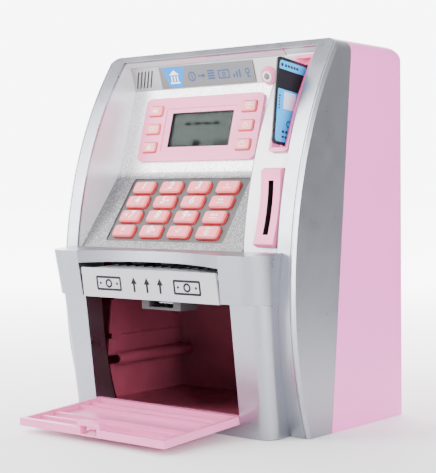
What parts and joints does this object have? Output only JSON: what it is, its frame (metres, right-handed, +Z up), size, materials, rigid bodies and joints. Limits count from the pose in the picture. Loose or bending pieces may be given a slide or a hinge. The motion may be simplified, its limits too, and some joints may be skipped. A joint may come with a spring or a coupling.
{
  "type": "toy cash-machine savings bank",
  "caption": "Toy cash-machine money box with keypad, display, card and coin slots, motor bill feed and a drop-down vault door.",
  "frame": {"origin": "on the base plane, midway between the sides, 56 mm in front of the back face", "axes": "+X to the right as seen from the front, the front faces -Y, +Z up"},
  "size_m": [0.195, 0.201, 0.2464],
  "materials": {
    "silver_paint": "satin silver paint",
    "casing_pink": "satin",
    "glitter_silver": "fine glitter",
    "sign_grey": "satin",
    "pastel_pink": "satin",
    "key_pink": "satin",
    "smoked_lens": "gloss",
    "clear_window": "clear",
    "lcd_grey": "satin",
    "grey_rubber": "matte",
    "green_board": "solder mask",
    "black_plastic": "moulded",
    "card_blue": "printed gloss",
    "white_plastic": "gloss",
    "steel": "bright",
    "motor_steel": "drawn can",
    "black_rubber": "matte",
    "brass": "bright",
    "cell_wrap": "printed film"
  },
  "bodies": {
    "bank": {"front_housing": "silver_paint", "rear_casing": "casing_pink", "fascia_panel": "glitter_silver", "ledge_cover": "silver_paint", "door_surround": "silver_paint", "vault_roof": "casing_pink", "sign_plate": "sign_grey", "indicator_base": "pastel_pink", "indicator_lens": "smoked_lens", "lcd_bezel": "pastel_pink", "lcd_window": "clear_window", "lcd_module": "lcd_grey", "keypad_membrane": "grey_rubber", "keypad_board": "green_board", "main_board": "green_board", "speaker": "black_plastic", "card_bezel": "pastel_pink", "card_guide": "black_plastic", "coin_bezel": "pastel_pink", "coin_chute": "black_plastic", "bill_tray": "white_plastic", "feeder_frame": "black_plastic", "feed_motor": "motor_steel", "latch_housing": "black_plastic", "hinge_pins": "steel", "battery_box": "black_plastic", "batteries": "cell_wrap", "casing_screws": "steel"},
    "door": {"vault_door": "pastel_pink"},
    "card": {"bank_card": "card_blue"},
    "bolt": {"latch_bolt": "steel"},
    "feed_roller": {"feed_shaft": "steel", "feed_rollers": "black_rubber", "roller_gear": "white_plastic"},
    "pinch_roller": {"pinch_rollers": "white_plastic"},
    "idler": {"idler_gear": "white_plastic"},
    "pinion": {"motor_pinion": "brass"},
    "cover": {"battery_cover": "casing_pink"},
    "key_1": {"key_1": "key_pink"},
    "key_2": {"key_2": "key_pink"},
    "key_3": {"key_3": "key_pink"},
    "key_4": {"key_4": "key_pink"},
    "key_5": {"key_5": "key_pink"},
    "key_6": {"key_6": "key_pink"},
    "key_7": {"key_7": "key_pink"},
    "key_8": {"key_8": "key_pink"},
    "key_9": {"key_9": "key_pink"},
    "key_10": {"key_10": "key_pink"},
    "key_11": {"key_11": "key_pink"},
    "key_12": {"key_12": "key_pink"},
    "key_13": {"key_13": "key_pink"},
    "key_14": {"key_14": "key_pink"},
    "key_15": {"key_15": "key_pink"},
    "key_16": {"key_16": "key_pink"},
    "button_1": {"button_1": "key_pink"},
    "button_2": {"button_2": "key_pink"},
    "button_3": {"button_3": "key_pink"},
    "button_4": {"button_4": "key_pink"},
    "button_5": {"button_5": "key_pink"},
    "button_6": {"button_6": "key_pink"}
  },
  "joints": [
    {"name": "door_hinge", "type": "hinge", "parent": "bank", "child": "door", "pos_m": [0, -0.0728, 0.0104], "axis": [-1, 0, 0], "range_deg": [0, 85.5]},
    {"name": "card_slide", "type": "slide", "parent": "bank", "child": "card", "axis": [0, 0.9936, -0.1132], "range_m": [-0.034, 0.006]},
    {"name": "bolt_slide", "type": "slide", "parent": "bank", "child": "bolt", "axis": [0, 0, -1], "range_m": [0, 0.0044], "stiffness_N_per_m": 60, "springref_m": -0.001},
    {"name": "feed_spin", "type": "hinge", "parent": "bank", "child": "feed_roller", "pos_m": [0, -0.062, 0.0956], "axis": [1, 0, 0], "continuous": true},
    {"name": "pinch_spin", "type": "hinge", "parent": "bank", "child": "pinch_roller", "pos_m": [0, -0.062, 0.106], "axis": [1, 0, 0], "continuous": true},
    {"name": "idler_spin", "type": "hinge", "parent": "bank", "child": "idler", "pos_m": [0, -0.0454, 0.10145], "axis": [1, 0, 0], "continuous": true},
    {"name": "motor_spin", "type": "hinge", "parent": "bank", "child": "pinion", "pos_m": [0, -0.038, 0.092], "axis": [1, 0, 0], "continuous": true},
    {"name": "cover_pull", "type": "slide", "parent": "bank", "child": "cover", "axis": [0, 1, 0], "range_m": [0, 0.03]},
    {"name": "key_1_press", "type": "slide", "parent": "bank", "child": "key_1", "axis": [0, 0.8131, -0.5821], "range_m": [0, 0.0012], "stiffness_N_per_m": 600},
    {"name": "key_2_press", "type": "slide", "parent": "bank", "child": "key_2", "axis": [0, 0.8131, -0.5821], "range_m": [0, 0.0012], "stiffness_N_per_m": 600},
    {"name": "key_3_press", "type": "slide", "parent": "bank", "child": "key_3", "axis": [0, 0.8131, -0.5821], "range_m": [0, 0.0012], "stiffness_N_per_m": 600},
    {"name": "key_4_press", "type": "slide", "parent": "bank", "child": "key_4", "axis": [0, 0.8131, -0.5821], "range_m": [0, 0.0012], "stiffness_N_per_m": 600},
    {"name": "key_5_press", "type": "slide", "parent": "bank", "child": "key_5", "axis": [0, 0.8131, -0.5821], "range_m": [0, 0.0012], "stiffness_N_per_m": 600},
    {"name": "key_6_press", "type": "slide", "parent": "bank", "child": "key_6", "axis": [0, 0.8131, -0.5821], "range_m": [0, 0.0012], "stiffness_N_per_m": 600},
    {"name": "key_7_press", "type": "slide", "parent": "bank", "child": "key_7", "axis": [0, 0.8131, -0.5821], "range_m": [0, 0.0012], "stiffness_N_per_m": 600},
    {"name": "key_8_press", "type": "slide", "parent": "bank", "child": "key_8", "axis": [0, 0.8131, -0.5821], "range_m": [0, 0.0012], "stiffness_N_per_m": 600},
    {"name": "key_9_press", "type": "slide", "parent": "bank", "child": "key_9", "axis": [0, 0.8131, -0.5821], "range_m": [0, 0.0012], "stiffness_N_per_m": 600},
    {"name": "key_10_press", "type": "slide", "parent": "bank", "child": "key_10", "axis": [0, 0.8131, -0.5821], "range_m": [0, 0.0012], "stiffness_N_per_m": 600},
    {"name": "key_11_press", "type": "slide", "parent": "bank", "child": "key_11", "axis": [0, 0.8131, -0.5821], "range_m": [0, 0.0012], "stiffness_N_per_m": 600},
    {"name": "key_12_press", "type": "slide", "parent": "bank", "child": "key_12", "axis": [0, 0.8131, -0.5821], "range_m": [0, 0.0012], "stiffness_N_per_m": 600},
    {"name": "key_13_press", "type": "slide", "parent": "bank", "child": "key_13", "axis": [0, 0.8131, -0.5821], "range_m": [0, 0.0012], "stiffness_N_per_m": 600},
    {"name": "key_14_press", "type": "slide", "parent": "bank", "child": "key_14", "axis": [0, 0.8131, -0.5821], "range_m": [0, 0.0012], "stiffness_N_per_m": 600},
    {"name": "key_15_press", "type": "slide", "parent": "bank", "child": "key_15", "axis": [0, 0.8131, -0.5821], "range_m": [0, 0.0012], "stiffness_N_per_m": 600},
    {"name": "key_16_press", "type": "slide", "parent": "bank", "child": "key_16", "axis": [0, 0.8131, -0.5821], "range_m": [0, 0.0012], "stiffness_N_per_m": 600},
    {"name": "button_1_press", "type": "slide", "parent": "bank", "child": "button_1", "axis": [0, 0.9622, -0.2723], "range_m": [0, 0.001], "stiffness_N_per_m": 600},
    {"name": "button_2_press", "type": "slide", "parent": "bank", "child": "button_2", "axis": [0, 0.9622, -0.2723], "range_m": [0, 0.001], "stiffness_N_per_m": 600},
    {"name": "button_3_press", "type": "slide", "parent": "bank", "child": "button_3", "axis": [0, 0.9622, -0.2723], "range_m": [0, 0.001], "stiffness_N_per_m": 600},
    {"name": "button_4_press", "type": "slide", "parent": "bank", "child": "button_4", "axis": [0, 0.9622, -0.2723], "range_m": [0, 0.001], "stiffness_N_per_m": 600},
    {"name": "button_5_press", "type": "slide", "parent": "bank", "child": "button_5", "axis": [0, 0.9622, -0.2723], "range_m": [0, 0.001], "stiffness_N_per_m": 600},
    {"name": "button_6_press", "type": "slide", "parent": "bank", "child": "button_6", "axis": [0, 0.9622, -0.2723], "range_m": [0, 0.001], "stiffness_N_per_m": 600}
  ],
  "couplings": [
    {"joint": "idler_spin", "follows": "feed_spin", "ratio": -1.2},
    {"joint": "motor_spin", "follows": "feed_spin", "ratio": 2.4},
    {"joint": "pinch_spin", "follows": "feed_spin", "ratio": -1.5}
  ]
}
